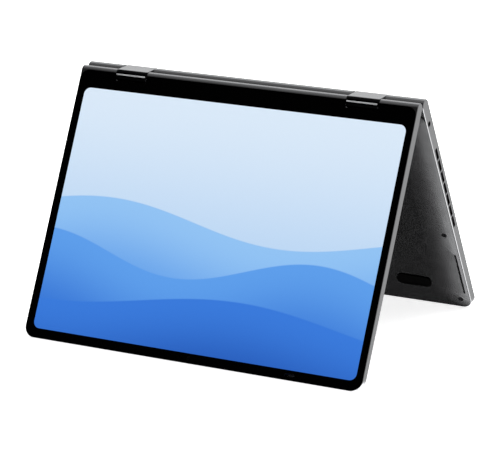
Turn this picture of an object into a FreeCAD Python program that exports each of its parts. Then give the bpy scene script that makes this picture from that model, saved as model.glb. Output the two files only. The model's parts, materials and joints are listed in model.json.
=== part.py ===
"""Convertible laptop computer, standing as a tent, as an assembly of separate pieces.

Each half is drawn lying flat in its own frame: X across the computer, Y from the
half's hinge axis to its free edge, Z square to its flat face.  The hinge blocks are
drawn about the middle of the two axes.  Placements at the end stand them all up, with
the origin on the ground in the middle of the footprint.
"""
import FreeCAD
import Part
import math
import os

# ---------------------------------------------------------------- driving dimensions
WIDTH = 294.0            # across both halves
AXIS_SPACING = 10.6      # between the two hinge axes
LEAN = 27.65             # half the angle between the two halves, degrees
CORNER_RADIUS = 9.0      # free corners in plan
EDGE_ROUND = 0.55        # outer edges of both halves

# Each half is a round-ended wedge: its reach from hinge axis to free edge is shorter at
# the back than at the flat face, and its depth is from the axis plane to the back there.
BASE_RADIUS, BASE_REACH, BASE_BACK_REACH, BASE_EDGE_DEPTH = 5.05, 218.0, 215.8, 2.5
LID_RADIUS, LID_REACH, LID_BACK_REACH, LID_EDGE_DEPTH = 4.3, 219.15, 217.4, 2.0

# keyboard half
WALL = 1.8
DECK_THICKNESS = 1.3
COVER_THICKNESS = 1.1
COVER_INSET = 0.7        # visible rim of the top case around the bottom cover
SEAM = 0.08              # open seam between parts that sit side by side
PAN_DEPTH = 1.2          # the bottom cover's flat stands this far out of its rim
PAN_BORDER = 27.0        # curved side of the pan, from the case's outline to its flat
PAN_HOLLOW_BORDER = 21.0 # the hollow behind it starts nearer the side
PAN_REAR_BORDER = 12.0
PAN_FREE_BORDER = 16.3
PAN_EDGE = 0.15          # from the cover's outline to where the pan starts
PAN_CORNERS = (6.0, 8.0)
PAN_STEPS = 5            # sections that its curved sides are lofted through
CAVITY_START = 6.9
COVER_START = 7.8

JACK_Y, JACK_Z, JACK_RADIUS = 17.2, -1.43, 1.8
JACK_SLEEVE_RADIUS, JACK_SET_BACK = 2.22, 0.2
VENT_COUNT, VENT_PITCH, VENT_FIRST = 7, 11.92, 49.0
VENT_LENGTH, VENT_HEIGHT, VENT_Z, VENT_CORNER = 10.6, 3.7, -0.65, 0.7
USB_YS, USB_Z = (37.0, 55.0), -0.6
USB_LENGTH, USB_HEIGHT = 9.0, 3.3
SPEAKER_SLIT = (142.2, 143.8, 155.2, 199.2)
COVER_SCREWS = ((137.8, 134.0), (-137.8, 134.0), (138.3, 206.2), (-138.3, 206.2),
                (124.0, 15.0), (-124.0, 15.0), (0.0, 13.0))
SCREW_HEAD_RADIUS, SCREW_SHANK_RADIUS, SCREW_BOSS_RADIUS = 2.2, 1.0, 2.4
SCREW_HEAD_SEAT = 0.55   # how deep a screw's head sits in the cover
DRIVE_POINTS, DRIVE_RADII = 6, (1.15, 0.8)
FRONT_FOOT = (85.2, 116.2, 185.2, 196.0)
REAR_FOOT = (-108.0, 108.0, 17.5, 26.0)
FOOT_RECESS = 0.5
FRONT_FOOT_PROUD, REAR_FOOT_PROUD = 0.9, 0.25
FOOT_RIM = 1.6
INTAKE_X, INTAKE_Y, INTAKE_ROWS, INTAKE_WIDTH = (42.0, 86.0), (66.0, 110.0), 9, 1.8

# keyboard and touchpad
KEY_UNIT = 18.6
KEY_GAP = 2.3            # between neighbouring caps
KEY_CLEARANCE = 0.35     # around a cap in its opening
KEY_CORNER = 1.6
KEY_CAP_HEIGHT = 1.35
KEY_TRAVEL = 1.3
KEY_BELOW_DECK = 0.1
FUNCTION_ROW_HEIGHT = 12.0
KEYBOARD_START = 27.6
WEB_BELOW_DECK = 0.2
PLATE_THICKNESS = 0.35
TOUCHPAD_WIDTH, TOUCHPAD_START, TOUCHPAD_DEPTH = 112.0, 141.5, 70.0
TOUCHPAD_THICKNESS, TOUCHPAD_GAP, TOUCHPAD_CORNER = 1.4, 0.3, 2.7
BRACKET_BORDER, BRACKET_START, BRACKET_END = 4.0, 138.0, 213.5
BRACKET_BOTTOM, BRACKET_FLOOR, BRACKET_WALL = 2.4, 2.8, 1.5

# hinge blocks
HINGE_CENTRE = 101.0     # each side of the middle
HINGE_WIDTH = 27.0
HINGE_RADIUS = 4.6       # half the block's height
HINGE_NOSE_RADIUS = 5.5  # of its two long ends, about each hinge axis
HINGE_WALL = 0.8
HINGE_END_ROUND = 0.35
HINGE_SIDE_GAP = 0.5
NOTCH_DEPTH = HINGE_NOSE_RADIUS + 0.5
SHAFT_RADIUS, SHAFT_END_RADIUS, RUNNING = 1.6, 0.8, 0.03
IDLER_PIN_RADIUS = 0.55
GEAR_TEETH = 12
ARM_INNER, ARM_OUTER, ARM_REACH, ARM_THICKNESS = 68.0, 84.0, 25.0, 1.2
ARM_SCREWS = ((71.5, 11.0), (80.5, 11.0), (76.0, 21.0))
ARM_SCREW_RADIUS, ARM_HEAD_RADIUS, ARM_HEAD_HEIGHT, ARM_BOSS_RADIUS = 0.8, 1.8, 0.6, 2.2

# screen half
GLASS_THICKNESS = 1.0
GLASS_INSET = 0.3
GLASS_START, GLASS_END = 0.0, 218.6
GLASS_CORNER = 8.0       # at the hinge side
GLASS_FREE_CORNER = CORNER_RADIUS - GLASS_INSET
LID_SKIN = 1.1
LID_WALL, LID_END_WALL = 1.6, 1.1
BEZEL_SIDE, BEZEL_CHIN, BEZEL_TOP = 6.13, 14.3, 7.55
SCREEN_CORNER = 5.5
MASK_THICKNESS = 0.1
PANEL_THICKNESS, BACKLIGHT_THICKNESS = 1.9, 0.7
CAMERA_X, CAMERA_Y = 0.0, 214.7
CAMERA_RADIUS, CAMERA_APERTURE = 1.5, 0.9
SENSOR_WINDOW_X, SENSOR_HALF = 86.5, (4.4, 1.15)
MICROPHONE_X = (36.0, 41.0)
ANTENNA = (20.0, 58.0, 7.4, 10.8, -1.6, 1.6)
LID_MAGNET = (110.0, 126.0, 212.5, 216.1)

# ------------------------------------------------------------------ derived dimensions
HALF_WIDTH = WIDTH / 2
DECK = BASE_RADIUS
GLASS_FACE = -LID_RADIUS
CEILING = DECK - DECK_THICKNESS
KEY_TOP = DECK - KEY_BELOW_DECK
KEY_BOTTOM = KEY_TOP - KEY_CAP_HEIGHT
PLATE_TOP = KEY_BOTTOM - KEY_TRAVEL - 0.05
PLATE_BOTTOM = PLATE_TOP - PLATE_THICKNESS
KEYBOARD_HALF = 7.5 * KEY_UNIT
KEYBOARD_END = KEYBOARD_START + FUNCTION_ROW_HEIGHT + 5 * KEY_UNIT
KEYBOARD_MARGIN = 0.6
HINGE_INNER = HINGE_CENTRE - HINGE_WIDTH / 2
HINGE_OUTER = HINGE_CENTRE + HINGE_WIDTH / 2
NOTCH_INNER, NOTCH_OUTER = HINGE_INNER - HINGE_SIDE_GAP, HINGE_OUTER + HINGE_SIDE_GAP
GLASS_BACK = GLASS_FACE + GLASS_THICKNESS
GLASS_HALF = HALF_WIDTH - GLASS_INSET
SIDES = (1, -1)


# ---------------------------------------------------------------------------- helpers
def vec(x, y, z):
    return FreeCAD.Vector(x, y, z)


def block(x0, x1, y0, y1, z0, z1):
    low = vec(min(x0, x1), min(y0, y1), min(z0, z1))
    return Part.makeBox(abs(x1 - x0), abs(y1 - y0), abs(z1 - z0), low)


def centred_block(centre, half, z0, z1):
    x, y = centre
    return block(x - half[0], x + half[0], y - half[1], y + half[1], z0, z1)


def rod(radius, x0, x1, y=0.0, z=0.0):
    """Cylinder along X."""
    return Part.makeCylinder(radius, abs(x1 - x0), vec(min(x0, x1), y, z), vec(1, 0, 0))


def post(radius, x, y, z0, z1):
    """Cylinder along Z."""
    return Part.makeCylinder(radius, abs(z1 - z0), vec(x, y, min(z0, z1)), vec(0, 0, 1))


def rounded_wire(x0, x1, y0, y1, near, far, z=0.0):
    """Rectangle in plan with corner radii near (at y0) and far (at y1)."""
    corners = ((x0, y0, near, 1, 1), (x1, y0, near, -1, 1),
               (x1, y1, far, -1, -1), (x0, y1, far, 1, -1))
    bends = []
    for index, (x, y, radius, inward_x, inward_y) in enumerate(corners):
        on_x = vec(x + inward_x * radius, y, z)
        on_y = vec(x, y + inward_y * radius, z)
        pull = radius * (1 - math.sqrt(0.5))
        middle = vec(x + inward_x * pull, y + inward_y * pull, z)
        first, last = (on_y, on_x) if index in (0, 2) else (on_x, on_y)
        bends.append((first, middle, last))
    edges = []
    for index, (first, middle, last) in enumerate(bends):
        if first.distanceToPoint(last) > 1e-6:
            edges.append(Part.Arc(first, middle, last).toShape())
        following = bends[(index + 1) % 4][0]
        if last.distanceToPoint(following) > 1e-6:
            edges.append(Part.LineSegment(last, following).toShape())
    return Part.Wire(edges)


def plate(x0, x1, y0, y1, z0, z1, near=0.0, far=None):
    far = near if far is None else far
    face = Part.Face(rounded_wire(x0, x1, y0, y1, near, far, z0))
    return face.extrude(vec(0, 0, z1 - z0))


def slot_through_side(y, z, length, height, x0, x1):
    """Obround prism along X, long way along Y."""
    radius = height / 2
    half = length / 2 - radius
    middle = block(x0, x1, y - half, y + half, z - radius, z + radius)
    return middle.fuse([rod(radius, x0, x1, y - half, z), rod(radius, x0, x1, y + half, z)])


def window_through_side(y, z, length, height, corner, x0, x1):
    """Prism along X with rounded corners, long way along Y."""
    window = plate(-height / 2, height / 2, y - length / 2, y + length / 2, x0, x1, corner)
    window.rotate(vec(0, 0, 0), vec(0, 1, 0), 90)
    window.translate(vec(0, 0, z))
    return window


def obround(x0, x1, y0, y1, z0, z1):
    radius = min(x1 - x0, y1 - y0) / 2 - 0.001
    return plate(x0, x1, y0, y1, z0, z1, radius)


def both_sides(shape):
    return Part.makeCompound([shape, mirrored(shape)])


def mirrored(shape):
    return shape.mirror(vec(0, 0, 0), vec(1, 0, 0))


def tidy(shape):
    return shape.removeSplitter()


# ------------------------------------------------------------ outer shape of one half
def back_line(radius, reach, depth):
    """Where a half's back leaves its round end, and its slope to the free edge."""
    away = math.hypot(reach, depth)
    angle = math.atan2(-depth, reach) - math.acos(radius / away)
    touch_y, touch_z = radius * math.cos(angle), radius * math.sin(angle)
    slope = (-depth - touch_z) / (reach - touch_y)
    return touch_y, touch_z, slope


def base_back(y):
    touch_y, touch_z, slope = back_line(BASE_RADIUS, BASE_BACK_REACH, BASE_EDGE_DEPTH)
    return touch_z + slope * (y - touch_y)


def lid_back(y):
    touch_y, touch_z, slope = back_line(LID_RADIUS, LID_BACK_REACH, LID_EDGE_DEPTH)
    return -(touch_z + slope * (y - touch_y))


def base_slope():
    """Angle of the keyboard half's bottom to its deck, degrees."""
    return math.degrees(math.atan(base_back(1) - base_back(0)))


def outer_half(radius, reach, back_reach, depth, up):
    """Round-ended wedge; up is +1 where the flat face is at +Z."""
    touch_y, touch_z, _ = back_line(radius, back_reach, depth)
    x = -HALF_WIDTH
    flat_start, flat_end = vec(x, 0, up * radius), vec(x, reach + 1, up * radius)
    slope = (-depth - touch_z) / (back_reach - touch_y)
    back_end = vec(x, reach + 1, up * (-depth + slope * (reach + 1 - back_reach)))
    back_start = vec(x, touch_y, up * touch_z)
    outline = Part.Wire([
        Part.LineSegment(flat_start, flat_end).toShape(),
        Part.LineSegment(flat_end, back_end).toShape(),
        Part.LineSegment(back_end, back_start).toShape(),
        Part.Arc(back_start, vec(x, -radius, 0), flat_start).toShape(),
    ])
    wedge = Part.Face(outline).extrude(vec(WIDTH, 0, 0))
    edge_slope = (reach - back_reach) / (radius + depth)
    levels = (radius + 1, -radius - 1)
    plans = [rounded_wire(-HALF_WIDTH, HALF_WIDTH, -radius - 1,
                          reach + edge_slope * (level - radius), 0, CORNER_RADIUS, up * level)
             for level in levels]
    solid = tidy(wedge.common(Part.makeLoft(plans, True, True))).Solids[0]
    return solid.makeFillet(EDGE_ROUND, rim_edges(solid))


def rim_edges(solid):
    """The edges around both faces: not the short ones that run from face to face at the
    free corners, nor the seams where the round end runs into the flats."""
    rim = []
    for edge in solid.Edges:
        box = edge.BoundBox
        at_corner = box.YMin > BASE_BACK_REACH - CORNER_RADIUS - 1
        face_to_face = at_corner and box.ZLength > BASE_EDGE_DEPTH
        crosswise_seam = box.XLength > WIDTH - 1 and box.YMax < BASE_BACK_REACH / 2
        if not face_to_face and not crosswise_seam:
            rim.append(edge)
    return rim


def notches():
    """Openings for the two hinge blocks, all through a half's hinge end."""
    side = block(NOTCH_INNER, NOTCH_OUTER, -20, NOTCH_DEPTH, -20, 20)
    return [side, mirrored(side)]


def barrel_channels(front, below, above, far):
    """Hollows inside the round end, with a hole for each hinge shaft."""
    wall_inner, wall_outer = NOTCH_INNER - 1.5, NOTCH_OUTER + 1.5
    end = HALF_WIDTH - WALL - 0.6
    cuts = [block(-wall_inner, wall_inner, front, far, below, above)]
    for side in SIDES:
        cuts.append(block(side * wall_outer, side * end, front, far, below, above))
        cuts.append(rod(SHAFT_RADIUS + 0.3, side * (wall_inner - 1), side * NOTCH_INNER))
    return cuts


# ------------------------------------------------------------------ keyboard half case
def cover_plate_region(grow, thickness):
    """The slab under the sloped bottom that the cover fills, grown all round by grow."""
    inset = COVER_INSET - grow
    start = COVER_START - grow
    end = BASE_BACK_REACH + 1
    profile = Part.makePolygon([
        vec(-HALF_WIDTH, start, base_back(start) + thickness),
        vec(-HALF_WIDTH, end, base_back(end) + thickness),
        vec(-HALF_WIDTH, end, base_back(end) - 3),
        vec(-HALF_WIDTH, start, base_back(start) - 3),
        vec(-HALF_WIDTH, start, base_back(start) + thickness),
    ])
    slab = Part.Face(profile).extrude(vec(WIDTH, 0, 0))
    plan = plate(-HALF_WIDTH + inset, HALF_WIDTH - inset, start, BASE_BACK_REACH - inset,
                 -12, 6, 3.0, CORNER_RADIUS - inset)
    return slab.common(plan)


def pan_wire(borders, extra, depth):
    """Outline on the sloped bottom, stood out from it by depth; borders are from the
    sides, the cover's hinge end and the free edge, each widened by extra."""
    side, rear, free = [border + extra for border in borders]
    wire = rounded_wire(-HALF_WIDTH + side, HALF_WIDTH - side, COVER_START + rear,
                        BASE_BACK_REACH - free, *PAN_CORNERS)
    turned = wire.copy()
    turned.rotate(vec(0, 0, 0), vec(1, 0, 0), base_slope())
    turned.translate(vec(0, 0, base_back(0) - depth))
    return turned


def tray_wires(foot, flat):
    """Sections of the tray's side, which curves until it runs flat."""
    wires = []
    for step in range(PAN_STEPS):
        share = step / (PAN_STEPS - 1)
        borders = [low + (high - low) * share for low, high in zip(foot, flat)]
        wires.append(pan_wire(borders, 0, PAN_DEPTH * (1 - (1 - share) ** 2)))
    return wires


def make_bottom_cover(outer):
    """Flat cover with a shallow tray standing out of it, hollow behind the tray."""
    foot = (COVER_INSET + PAN_EDGE, PAN_EDGE, COVER_INSET + PAN_EDGE)
    flat = (PAN_BORDER, PAN_REAR_BORDER, PAN_FREE_BORDER)
    cover = cover_plate_region(0.0, COVER_THICKNESS).common(outer)
    tray = Part.makeLoft(tray_wires(foot, flat), True, False)
    lift = COVER_THICKNESS + 0.001
    inside = (PAN_HOLLOW_BORDER, PAN_REAR_BORDER, PAN_FREE_BORDER)
    hollow = Part.makeLoft([pan_wire(inside, 1, -lift), pan_wire(inside, 3, PAN_DEPTH - lift)],
                           True, True)
    cover = cover.fuse(tray)
    cuts = [hollow]
    for x, y in COVER_SCREWS:
        floor = base_back(y)
        cuts.append(post(SCREW_HEAD_RADIUS + 0.05, x, y, floor - 3, floor + SCREW_HEAD_SEAT))
        cuts.append(post(SCREW_SHANK_RADIUS + 0.1, x, y, floor - 3, floor + 3))
    for foot in foot_places():
        cuts.append(foot_solid(foot, -FOOT_RECESS, 3.0))
    for side in SIDES:
        near, far, start, end = SPEAKER_SLIT
        low, high = sorted((side * near, side * far))
        cuts.append(obround(low, high, start, end, -8, 2))
    cuts += intake_slots()
    return tidy(cover.cut(cuts))


def intake_slots():
    slots = []
    step = (INTAKE_Y[1] - INTAKE_Y[0]) / (INTAKE_ROWS - 1)
    for row in range(INTAKE_ROWS):
        y = INTAKE_Y[0] + row * step
        half = INTAKE_WIDTH / 2
        slots.append(obround(INTAKE_X[0], INTAKE_X[1], y - half, y + half, -9, 0))
    return slots


def foot_places():
    x0, x1, y0, y1 = FRONT_FOOT
    return [(x0, x1, y0, y1), (-x1, -x0, y0, y1), REAR_FOOT]


def foot_solid(place, start, proud):
    """Obround pad, square to the sloped bottom, from start to proud of the pan's flat."""
    x0, x1, y0, y1 = place
    pad = obround(x0, x1, y0, y1, -proud, -start)
    pad.rotate(vec(0, 0, 0), vec(1, 0, 0), base_slope())
    pad.translate(vec(0, 0, base_back(0) - PAN_DEPTH))
    return pad


def make_foot(place, proud):
    x0, x1, y0, y1 = place
    inner = (x0 + SEAM, x1 - SEAM, y0 + SEAM, y1 - SEAM)
    pad = foot_solid(inner, -FOOT_RECESS, proud)
    if proud <= REAR_FOOT_PROUD:
        return pad
    middle = (x0 + FOOT_RIM, x1 - FOOT_RIM, y0 + FOOT_RIM, y1 - FOOT_RIM)
    return pad.cut(foot_solid(middle, proud - 0.25, proud + 1))


def make_top_case(outer):
    inner_half = HALF_WIDTH - WALL
    cavity = plate(-inner_half, inner_half, CAVITY_START, BASE_BACK_REACH - WALL, -20,
                   CEILING, 2.0, CORNER_RADIUS - WALL)
    channels = barrel_channels(-3.0, -2.8, 2.8, CAVITY_START + 0.5)
    margin = KEYBOARD_MARGIN
    well = plate(-KEYBOARD_HALF - margin, KEYBOARD_HALF + margin, KEYBOARD_START - margin,
                 KEYBOARD_END + margin, 0, 20, 2.4)
    half_pad = TOUCHPAD_WIDTH / 2 + TOUCHPAD_GAP
    pad_opening = plate(-half_pad, half_pad, TOUCHPAD_START - TOUCHPAD_GAP,
                        TOUCHPAD_START + TOUCHPAD_DEPTH + TOUCHPAD_GAP, 0, 20,
                        TOUCHPAD_CORNER + TOUCHPAD_GAP)
    case = outer.cut([cavity, cover_plate_region(SEAM, COVER_THICKNESS)] + channels)
    case = case.fuse(case_bosses())
    cuts = notches() + [well, pad_opening, jack_hole()] + vent_slots() + usb_holes()
    cuts += boss_holes()
    return tidy(case.cut(cuts))


def case_bosses():
    bosses = []
    for x, y in COVER_SCREWS:
        foot = base_back(y) + COVER_THICKNESS + SEAM
        if KEYBOARD_START < y < KEYBOARD_END + 2 * SCREW_BOSS_RADIUS:
            side = math.copysign(1, x)
            top = PLATE_BOTTOM - 0.1
            bosses.append(post(SCREW_BOSS_RADIUS, x, y, foot, top))
            bosses.append(block(x, side * (HALF_WIDTH - WALL + 0.3), y - 1.5, y + 1.5, foot, top))
        else:
            bosses.append(post(SCREW_BOSS_RADIUS, x, y, foot, CEILING + 0.3))
    for side in SIDES:
        for x, y in ARM_SCREWS:
            bosses.append(post(ARM_BOSS_RADIUS, side * x, y, ARM_THICKNESS / 2, CEILING + 0.3))
    return bosses


def boss_holes():
    holes = []
    for x, y in COVER_SCREWS:
        foot = base_back(y) + COVER_THICKNESS
        holes.append(post(SCREW_SHANK_RADIUS, x, y, foot - 1, foot + 2.6))
    for side in SIDES:
        for x, y in ARM_SCREWS:
            holes.append(post(ARM_SCREW_RADIUS, side * x, y, 0, ARM_THICKNESS / 2 + 2.2))
    return holes


def jack_hole():
    return rod(JACK_SLEEVE_RADIUS + SEAM, HALF_WIDTH - WALL - 1, HALF_WIDTH + 1, JACK_Y, JACK_Z)


def vent_slots():
    slots = []
    for index in range(VENT_COUNT):
        y = VENT_FIRST + index * VENT_PITCH
        slots.append(window_through_side(y, VENT_Z, VENT_LENGTH, VENT_HEIGHT, VENT_CORNER,
                                         HALF_WIDTH - WALL - 1, HALF_WIDTH + 1))
    return slots


def usb_holes():
    return [slot_through_side(y, USB_Z, USB_LENGTH, USB_HEIGHT,
                              -HALF_WIDTH - 1, -HALF_WIDTH + WALL + 1) for y in USB_YS]


def make_bottom_screws():
    screws = []
    for x, y in COVER_SCREWS:
        floor = base_back(y)
        foot = floor + COVER_THICKNESS
        head = post(SCREW_HEAD_RADIUS, x, y, floor - 0.25, floor + SCREW_HEAD_SEAT)
        shank = post(SCREW_SHANK_RADIUS, x, y, floor + 0.5, foot + 2.5)
        drive = star_recess(x, y, floor - 1, floor + 0.15)
        screws.append(head.fuse(shank).cut(drive))
    return Part.makeCompound(screws)


def star_recess(x, y, z0, z1):
    """Star-shaped drive recess."""
    points = []
    for index in range(2 * DRIVE_POINTS + 1):
        angle = math.pi * index / DRIVE_POINTS
        radius = DRIVE_RADII[index % 2]
        points.append(vec(x + radius * math.cos(angle), y + radius * math.sin(angle), z0))
    return Part.Face(Part.makePolygon(points)).extrude(vec(0, 0, z1 - z0))


# ------------------------------------------------------------------------------- keys
# Rows from the hinge side.  Widths are in key units, from the user's left, which is +X.
ROW_WIDTHS = {
    "key_row_function": [1.0] * 14,
    "key_row_number": [1.0] * 13 + [2.0],
    "key_row_upper": [1.5] + [1.0] * 12 + [1.5],
    "key_row_home": [1.75] + [1.0] * 11,
    "key_row_lower": [2.25] + [1.0] * 10 + [2.75],
}


def cap(left_units, width_units, row_start, row_height, grow=0.0):
    """One key cap, or with grow its opening, at left_units from the user's left."""
    x1 = KEYBOARD_HALF - left_units * KEY_UNIT - KEY_GAP / 2 + grow
    x0 = KEYBOARD_HALF - (left_units + width_units) * KEY_UNIT + KEY_GAP / 2 - grow
    y0 = row_start + KEY_GAP / 2 - grow
    y1 = row_start + row_height - KEY_GAP / 2 + grow
    if grow:
        return plate(x0, x1, y0, y1, PLATE_TOP - 1, DECK + 1, KEY_CORNER + grow)
    return plate(x0, x1, y0, y1, KEY_BOTTOM, KEY_TOP, KEY_CORNER)


def row_start(number):
    """Row 0 is the low function row; rows 1 to 5 are full height."""
    if number == 0:
        return KEYBOARD_START
    return KEYBOARD_START + FUNCTION_ROW_HEIGHT + (number - 1) * KEY_UNIT


def key_places():
    """Node name to a list of (left, width, start, height)."""
    places = {}
    for number, (name, widths) in enumerate(ROW_WIDTHS.items()):
        height = FUNCTION_ROW_HEIGHT if number == 0 else KEY_UNIT
        left = 0.0
        places[name] = []
        for width in widths:
            places[name].append((left, width, row_start(number), height))
            left += width
    places["power_key"] = [(14.0, 1.0, row_start(0), FUNCTION_ROW_HEIGHT)]
    places["enter_key"] = [(12.75, 2.25, row_start(3), KEY_UNIT)]
    bottom = row_start(5)
    modifiers = [(0.0, 1.25), (1.25, 1.0), (2.25, 1.0), (3.25, 1.25), (10.0, 1.0),
                 (11.0, 1.0), (12.0, 1.0), (14.0, 1.0)]
    places["key_row_bottom"] = [(left, width, bottom, KEY_UNIT) for left, width in modifiers]
    half = (KEY_UNIT + KEY_GAP) / 2 - 0.3
    places["key_row_bottom"].append((13.0, 1.0, bottom, half))
    places["key_row_bottom"].append((13.0, 1.0, bottom + KEY_UNIT - half, half))
    places["space_bar"] = [(4.5, 5.5, bottom, KEY_UNIT)]
    return places


def make_keyboard_frame():
    margin = KEYBOARD_MARGIN
    frame = plate(-KEYBOARD_HALF - margin, KEYBOARD_HALF + margin, KEYBOARD_START - margin,
                  KEYBOARD_END + margin, PLATE_TOP, DECK - WEB_BELOW_DECK, 2.4)
    openings = []
    for places in key_places().values():
        openings += [cap(*place, grow=KEY_CLEARANCE) for place in places]
    return frame.cut(openings)


def make_keyboard_plate():
    return plate(-KEYBOARD_HALF, KEYBOARD_HALF, KEYBOARD_START, KEYBOARD_END,
                 PLATE_BOTTOM, PLATE_TOP, 1.0)


# --------------------------------------------------------------------------- touchpad
def make_touchpad():
    half = TOUCHPAD_WIDTH / 2
    return plate(-half, half, TOUCHPAD_START, TOUCHPAD_START + TOUCHPAD_DEPTH,
                 KEY_TOP - TOUCHPAD_THICKNESS, KEY_TOP, TOUCHPAD_CORNER)


def make_touchpad_bracket():
    half = TOUCHPAD_WIDTH / 2 + BRACKET_BORDER
    inner = half - BRACKET_WALL
    tray = plate(-half, half, BRACKET_START, BRACKET_END, BRACKET_BOTTOM, CEILING, 2.0)
    hollow = plate(-inner, inner, BRACKET_START + BRACKET_WALL, BRACKET_END - BRACKET_WALL,
                   BRACKET_FLOOR, 20, 2.0)
    return tray.cut(hollow)


def make_touchpad_switch():
    """Dome switch on the bracket's floor, under the pad's free end."""
    y = TOUCHPAD_START + TOUCHPAD_DEPTH - 12
    body_top = BRACKET_FLOOR + 0.2
    body = block(-3, 3, y - 2, y + 2, BRACKET_FLOOR, body_top)
    return body.fuse(post(1.2, 0, y, body_top, body_top + 0.08))


# ------------------------------------------------------------------------ electronics
BOARD = (-141.0, 58.0, 29.0, 128.0)
BOARD_BOTTOM, BOARD_TOP = -1.2, -0.4
PROCESSOR = (-24.0, 74.0)
BOARD_SCREWS = ((-132.0, 68.0), (-132.0, 122.0), (52.0, 34.0), (52.0, 122.0), (-60.0, 34.0))
FAN_X, FAN_Y, FAN_RADIUS = 92.0, 88.0, 24.0
FAN_BOTTOM, FAN_TOP = -2.4, 1.6
FIN_X, FIN_Y = (129.6, 142.6), (44.6, 127.4)
FIN_BOTTOM, FIN_TOP, FIN_PITCH, FIN_THICKNESS = -2.3, 0.3, 2.3, 0.3
PIPE_WIDTH, PIPE_TOP = 7.0, 1.65
PIPE_ROUTE = ((-40.0, 76.0), (-6.0, 76.0), (34.0, 48.0), (136.0, 48.0), (136.0, 123.0))
PACKAGE_HALF, DIE_HALF, COLD_PLATE_HALF = (17.0, 12.0), (9.0, 6.0), (15.0, 11.0)
DIE_BOTTOM, DIE_TOP = 0.0, 0.2
FAN_HOUSING = (62.0, 53.0, 124.0)          # inner side, hinge end, free end
FAN_SKIN, FAN_INTAKE_RADIUS, FAN_SPINDLE_RADIUS, FAN_HUB_RADIUS = 0.4, 16.0, 1.5, 8.0
FAN_BLADES, FAN_BLADE_ROOT, FAN_BLADE_HALF, FAN_BLADE_SWEEP = 29, 6.0, 0.25, 24.0
MEMORY_HALF, MEMORY_HEIGHT, MEMORY_STEP, MEMORY_SPREAD = (5.0, 6.0), 0.6, 13.5, 31.0
SSD_BOARD, SSD_CHIP_XS, SSD_CHIP_LENGTH = (-128.0, -48.0, 99.0, 121.0), (-118, -96, -72), 14.0
SSD_LIFT, SSD_BOARD_TOP, SSD_CHIP_TOP = 0.5, 1.1, 1.9
WIFI_CARD, WIFI_HEIGHT = (-100.0, -78.0, 60.0, 76.0), 1.4
BATTERY_CELLS, CELL_WIDTH, BATTERY_Y = (-121.0, -61.0, -0.5, 60.0), 58.5, (132.0, 194.5)
BATTERY_BOTTOM, BATTERY_TOP = -2.0, 1.8
SPEAKER, SPEAKER_CONE = (126.5, 142.8, 141.0, 199.5, -1.4, 3.3), (134.5, 170.0, 6.0, 4.5)
JACK_LENGTH, SOCKET_LENGTH = 12.0, 7.5
SCREEN_SHEET, SCREEN_HOLES, SCREEN_PITCH = 0.35, 52, 1.6
BASE_MAGNET = (92.0, 108.0, 209.9, 213.5, 0.6, 3.6)


def make_mainboard():
    x0, x1, y0, y1 = BOARD
    board = plate(x0, x1, y0, y1, BOARD_BOTTOM, BOARD_TOP, 2.0)
    holes = [post(ARM_SCREW_RADIUS, x, y, -3, 3) for x, y in BOARD_SCREWS]
    socket_bay = block(x0 - 1, -137.5, USB_YS[0] - 6, USB_YS[1] + 6, -3, 3)
    return board.cut(holes + [socket_bay])


def make_board_standoffs():
    posts = []
    for x, y in BOARD_SCREWS:
        sleeve = post(2.0, x, y, BOARD_TOP, PLATE_BOTTOM)
        posts.append(sleeve.cut(post(ARM_SCREW_RADIUS, x, y, BOARD_TOP - 1, 1.4)))
    return Part.makeCompound(posts)


def make_board_screws():
    screws = []
    for x, y in BOARD_SCREWS:
        head = post(ARM_HEAD_RADIUS, x, y, BOARD_BOTTOM - ARM_HEAD_HEIGHT, BOARD_BOTTOM)
        screws.append(head.fuse(post(ARM_SCREW_RADIUS, x, y, BOARD_BOTTOM, 1.2)))
    return Part.makeCompound(screws)


def make_processor():
    package = centred_block(PROCESSOR, PACKAGE_HALF, BOARD_TOP, DIE_BOTTOM)
    return package.fuse(centred_block(PROCESSOR, DIE_HALF, DIE_BOTTOM, DIE_TOP))


def make_cold_plate():
    x, y = PROCESSOR
    along, across = COLD_PLATE_HALF
    return plate(x - along, x + along, y - across, y + across, DIE_TOP, FIN_TOP, 1.5)


def make_heat_pipe():
    """Flattened pipe: straight runs with round elbows."""
    pieces = []
    for start, end in zip(PIPE_ROUTE, PIPE_ROUTE[1:]):
        length = math.dist(start, end)
        run = block(0, length, -PIPE_WIDTH / 2, PIPE_WIDTH / 2, FIN_TOP, PIPE_TOP)
        turn = math.degrees(math.atan2(end[1] - start[1], end[0] - start[0]))
        run.rotate(vec(0, 0, 0), vec(0, 0, 1), turn)
        run.translate(vec(start[0], start[1], 0))
        pieces.append(run)
    for x, y in PIPE_ROUTE:
        pieces.append(post(PIPE_WIDTH / 2, x, y, FIN_TOP, PIPE_TOP))
    return tidy(pieces[0].fuse(pieces[1:]))


def make_fins():
    x0, x1 = FIN_X
    spine = block(x0, x1, FIN_Y[0], FIN_Y[1], FIN_TOP - FIN_THICKNESS, FIN_TOP)
    count = int((FIN_Y[1] - FIN_Y[0]) / FIN_PITCH) + 1
    fins = []
    for index in range(count):
        y = FIN_Y[0] + index * FIN_PITCH
        fins.append(block(x0, x1, y, y + FIN_THICKNESS, FIN_BOTTOM, FIN_TOP))
    return spine.fuse(fins)


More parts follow.
